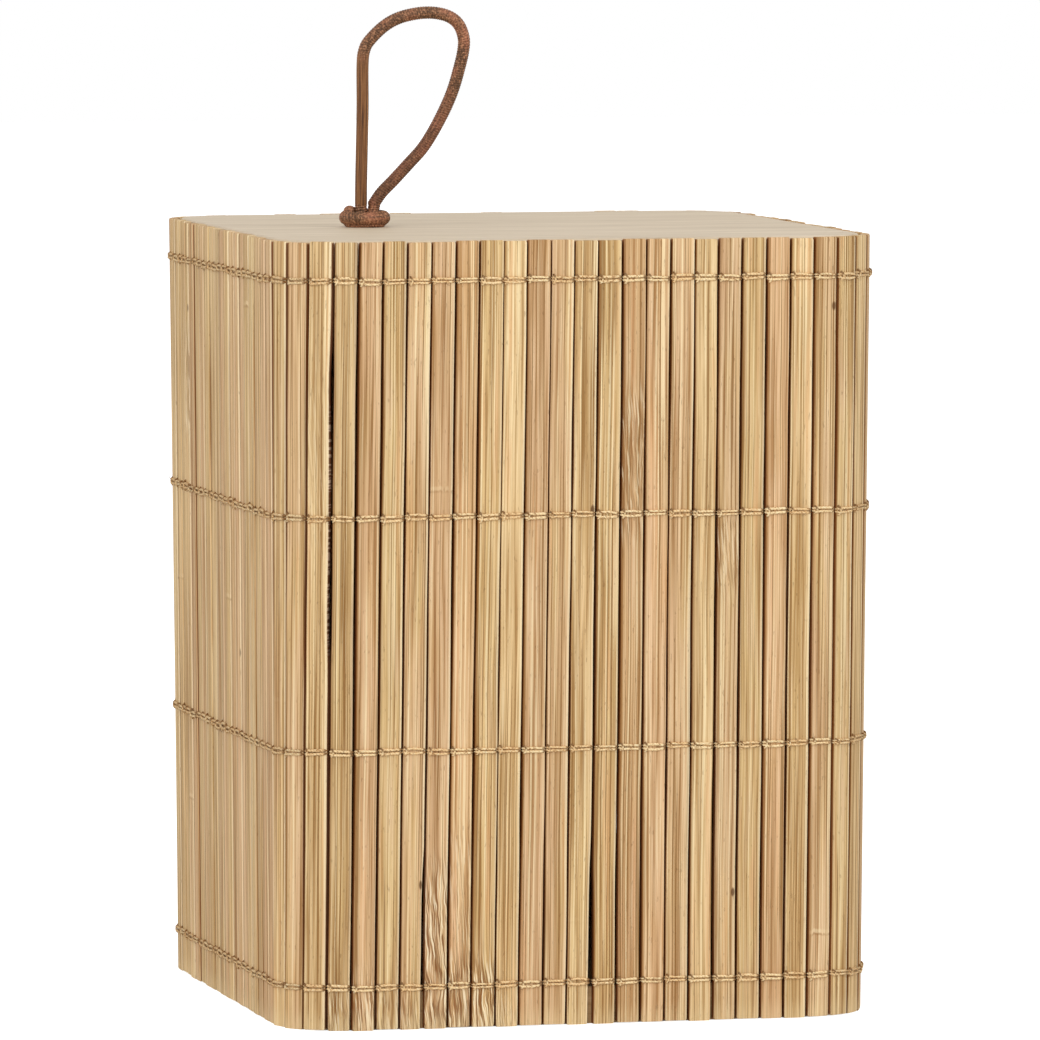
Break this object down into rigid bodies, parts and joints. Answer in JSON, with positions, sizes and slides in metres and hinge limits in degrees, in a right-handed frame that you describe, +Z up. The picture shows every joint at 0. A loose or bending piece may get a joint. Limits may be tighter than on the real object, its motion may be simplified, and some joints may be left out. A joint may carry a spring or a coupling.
{
  "type": "bathroom storage box",
  "caption": "Square bathroom storage box of upright bamboo slats sewn together with rows of thread, with a flat lift-off wooden lid and a cord loop handle.",
  "frame": {"origin": "on the floor, under the middle of the box", "axes": "+Z up, the front that the picture shows towards -Y, +X to the right seen from the front"},
  "size_m": [0.1518, 0.1518, 0.2441],
  "materials": {
    "bamboo": "satin",
    "thread": "matte",
    "base_board": "matte",
    "batten": "matte",
    "lid_board": "satin",
    "cord": "satin"
  },
  "bodies": {
    "box": {"slat_pair_01": "bamboo", "slat_pair_02": "bamboo", "slat_pair_03": "bamboo", "slat_pair_04": "bamboo", "slat_pair_05": "bamboo", "slat_pair_06": "bamboo", "slat_pair_07": "bamboo", "slat_pair_08": "bamboo", "slat_pair_09": "bamboo", "slat_pair_10": "bamboo", "slat_pair_11": "bamboo", "slat_pair_12": "bamboo", "slat_pair_13": "bamboo", "slat_pair_14": "bamboo", "slat_pair_15": "bamboo", "slat_pair_16": "bamboo", "slat_pair_17": "bamboo", "slat_pair_18": "bamboo", "slat_pair_19": "bamboo", "slat_pair_20": "bamboo", "slat_pair_21": "bamboo", "slat_pair_22": "bamboo", "slat_pair_23": "bamboo", "slat_pair_24": "bamboo", "slat_pair_25": "bamboo", "slat_pair_26": "bamboo", "slat_pair_27": "bamboo", "slat_pair_28": "bamboo", "slat_pair_29": "bamboo", "slat_pair_30": "bamboo", "slat_pair_31": "bamboo", "slat_pair_32": "bamboo", "slat_pair_33": "bamboo", "slat_pair_34": "bamboo", "slat_pair_35": "bamboo", "slat_pair_36": "bamboo", "slat_pair_37": "bamboo", "slat_pair_38": "bamboo", "slat_pair_39": "bamboo", "slat_pair_40": "bamboo", "slat_pair_41": "bamboo", "slat_pair_42": "bamboo", "slat_pair_43": "bamboo", "slat_pair_44": "bamboo", "slat_pair_45": "bamboo", "slat_pair_46": "bamboo", "slat_pair_47": "bamboo", "thread_row_1": "thread", "thread_row_2": "thread", "thread_row_3": "thread", "thread_row_4": "thread", "base_board": "base_board", "front_batten": "batten", "right_batten": "batten", "back_batten": "batten", "left_batten": "batten"},
    "lid": {"lid_board": "lid_board", "handle_knot": "cord", "stopper_knot": "cord"},
    "handle": {"handle_loop": "cord"}
  },
  "joints": [
    {"name": "lid_lift", "type": "slide", "parent": "box", "child": "lid", "axis": [0, 0, 1], "range_m": [0, 0.06]},
    {"name": "loop_fold", "type": "hinge", "parent": "lid", "child": "handle", "pos_m": [-0.0371, 0, 0.1958], "axis": [1, 0, 0], "range_deg": [-78, 78], "stiffness_Nm_per_rad": 0.0015}
  ]
}
